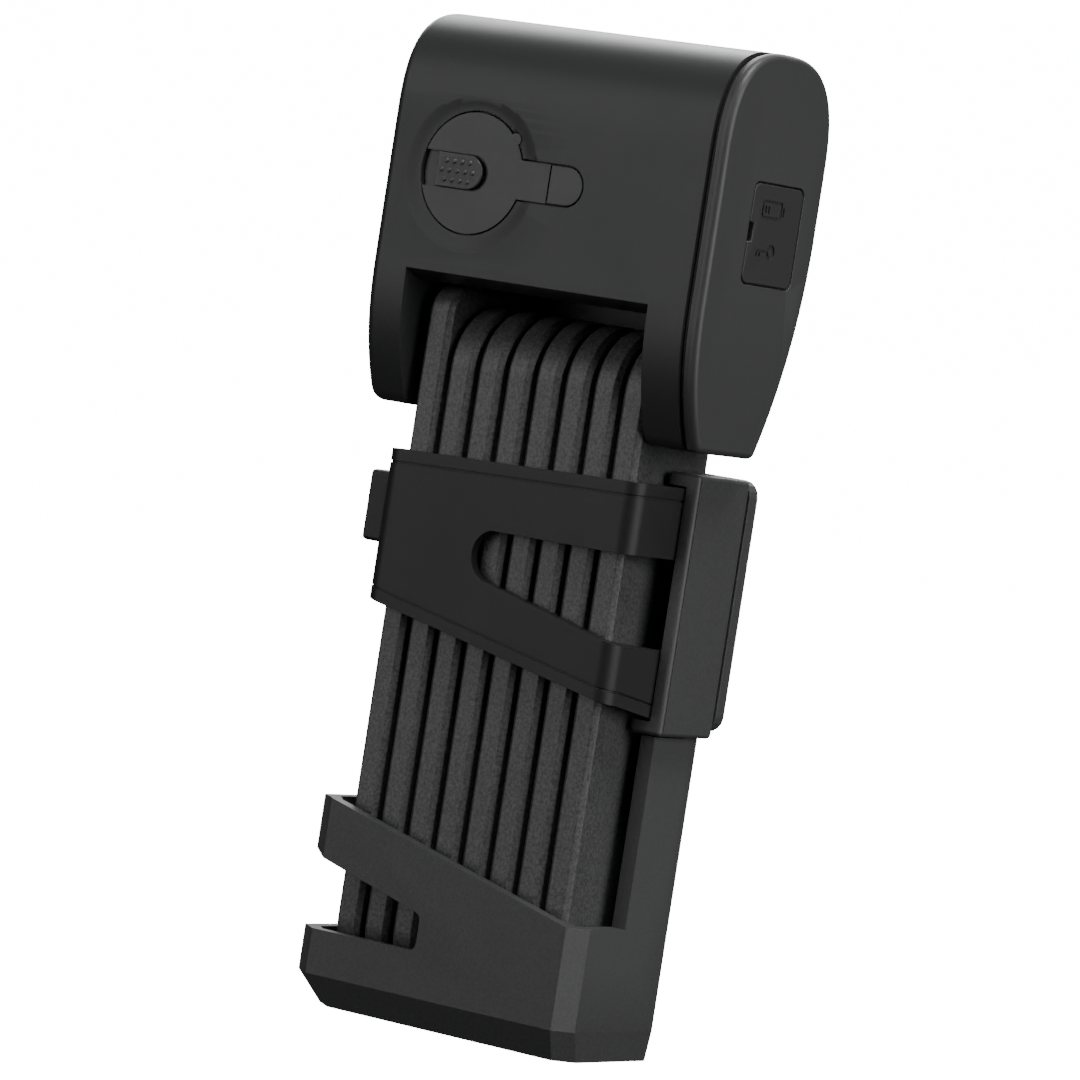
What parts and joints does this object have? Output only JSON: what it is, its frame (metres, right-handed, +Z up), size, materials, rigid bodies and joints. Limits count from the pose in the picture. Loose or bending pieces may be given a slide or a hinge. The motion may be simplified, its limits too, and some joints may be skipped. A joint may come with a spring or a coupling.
{
  "type": "folding bicycle lock with frame holster",
  "caption": "Folding bar lock with an electronic head, stacked in a moulded frame holster with a rubber strap.",
  "frame": {"origin": "on the underside of the holster's cup, under the middle of the folded stack", "axes": "+X across the stack of bars to the right, +Y to the back and the bicycle frame, +Z up the bars"},
  "size_m": [0.0723, 0.045, 0.1812],
  "materials": {
    "shell": "fine satin moulding",
    "holster": "fine moulded texture",
    "rubber": "matte elastomer",
    "bar": "speckled dark coating on hardened steel",
    "steel": "plain steel",
    "dark_steel": "darkened steel",
    "nylon": "moulded nylon",
    "board": "solder-masked board",
    "cell": "wrapped cell",
    "glass": "dark sensor pad"
  },
  "bodies": {
    "holder": {"holder_base": "holster", "clamp_block": "holster", "strap_anchor_pin": "steel", "mount_plate": "holster", "lower_spacer": "nylon", "mount_bolt_lower": "steel", "mount_bolt_upper": "steel"},
    "strap": {"strap": "rubber"},
    "link_1": {"link_1": "bar", "rivet_1": "steel", "washer_1": "nylon"},
    "link_2": {"link_2": "bar", "rivet_2": "steel", "washer_2": "nylon"},
    "link_3": {"link_3": "bar", "rivet_3": "steel", "washer_3": "nylon"},
    "link_4": {"link_4": "bar", "rivet_4": "steel", "washer_4": "nylon"},
    "link_5": {"link_5": "bar", "rivet_5": "steel", "washer_5": "nylon"},
    "link_6": {"link_6": "bar", "rivet_6": "steel", "washer_6": "nylon"},
    "link_7": {"link_7": "bar", "rivet_7": "steel", "washer_7": "nylon"},
    "link_8": {"link_8": "bar"},
    "head": {"head_shell": "shell", "head_pin": "steel", "end_cap": "shell", "cap_seal": "rubber", "usb_socket": "steel", "key_cylinder": "dark_steel", "cover_tether": "rubber", "touch_sensor": "glass", "circuit_board": "board", "battery": "cell", "motor": "steel"},
    "sensor_cover": {"sensor_cover": "rubber"},
    "cover_slider": {"cover_slider": "nylon"},
    "port_flap": {"port_flap": "rubber"},
    "key_plug": {"key_plug": "steel"},
    "lock_bolt": {"lock_bolt": "steel"}
  },
  "joints": [
    {"name": "lift_out", "type": "slide", "parent": "holder", "child": "link_1", "axis": [0, 0, 1], "range_m": [0, 0.9]},
    {"name": "fold_2", "type": "hinge", "parent": "link_1", "child": "link_2", "pos_m": [-0.0179, 0.001, 0.0164], "axis": [1, 0, 0], "range_deg": [0, 180]},
    {"name": "fold_3", "type": "hinge", "parent": "link_2", "child": "link_3", "pos_m": [-0.0116, 0.001, 0.1176], "axis": [1, 0, 0], "range_deg": [-180, 0]},
    {"name": "fold_4", "type": "hinge", "parent": "link_3", "child": "link_4", "pos_m": [-0.0053, 0.001, 0.0164], "axis": [1, 0, 0], "range_deg": [0, 180]},
    {"name": "fold_5", "type": "hinge", "parent": "link_4", "child": "link_5", "pos_m": [0.001, 0.001, 0.1176], "axis": [1, 0, 0], "range_deg": [-180, 0]},
    {"name": "fold_6", "type": "hinge", "parent": "link_5", "child": "link_6", "pos_m": [0.0073, 0.001, 0.0164], "axis": [1, 0, 0], "range_deg": [0, 180]},
    {"name": "fold_7", "type": "hinge", "parent": "link_6", "child": "link_7", "pos_m": [0.0136, 0.001, 0.1176], "axis": [1, 0, 0], "range_deg": [-180, 0]},
    {"name": "fold_8", "type": "hinge", "parent": "link_7", "child": "link_8", "pos_m": [0.0199, 0.001, 0.0164], "axis": [1, 0, 0], "range_deg": [0, 180]},
    {"name": "head_swing", "type": "hinge", "parent": "link_1", "child": "head", "pos_m": [-0.0242, 0.001, 0.1176], "axis": [1, 0, 0], "range_deg": [0, 90]},
    {"name": "cover_open", "type": "hinge", "parent": "head", "child": "sensor_cover", "pos_m": [0.001, -0.0159, 0.1525], "axis": [0, 0, 1], "range_deg": [0, 120]},
    {"name": "cover_slide", "type": "slide", "parent": "sensor_cover", "child": "cover_slider", "axis": [-1, 0, 0], "range_m": [0, 0.0022]},
    {"name": "flap_open", "type": "hinge", "parent": "head", "child": "port_flap", "pos_m": [0.0373, 0.011, 0.14935], "axis": [0, 0, 1], "range_deg": [0, 110]},
    {"name": "key_turn", "type": "hinge", "parent": "head", "child": "key_plug", "pos_m": [0.0355, 0.003, 0.146], "axis": [1, 0, 0], "range_deg": [0, 90]},
    {"name": "bolt_throw", "type": "slide", "parent": "head", "child": "lock_bolt", "axis": [-1, 0, 0], "range_m": [0, 0.004]},
    {"name": "strap_open", "type": "hinge", "parent": "holder", "child": "strap", "pos_m": [0.0283, 0.0046, 0.083], "axis": [0, 0, 1], "range_deg": [0, 100], "deforming": ["strap"]}
  ],
  "couplings": [
    {"joint": "fold_2", "follows": "lift_out", "rad_per_m": 3.49},
    {"joint": "fold_3", "follows": "lift_out", "rad_per_m": -3.49},
    {"joint": "fold_4", "follows": "lift_out", "rad_per_m": 3.49},
    {"joint": "fold_5", "follows": "lift_out", "rad_per_m": -3.49},
    {"joint": "fold_6", "follows": "lift_out", "rad_per_m": 3.49},
    {"joint": "fold_7", "follows": "lift_out", "rad_per_m": -3.49},
    {"joint": "fold_8", "follows": "lift_out", "rad_per_m": 3.49},
    {"joint": "head_swing", "follows": "lift_out", "rad_per_m": 1.745},
    {"joint": "key_turn", "follows": "bolt_throw", "rad_per_m": 392.69}
  ]
}
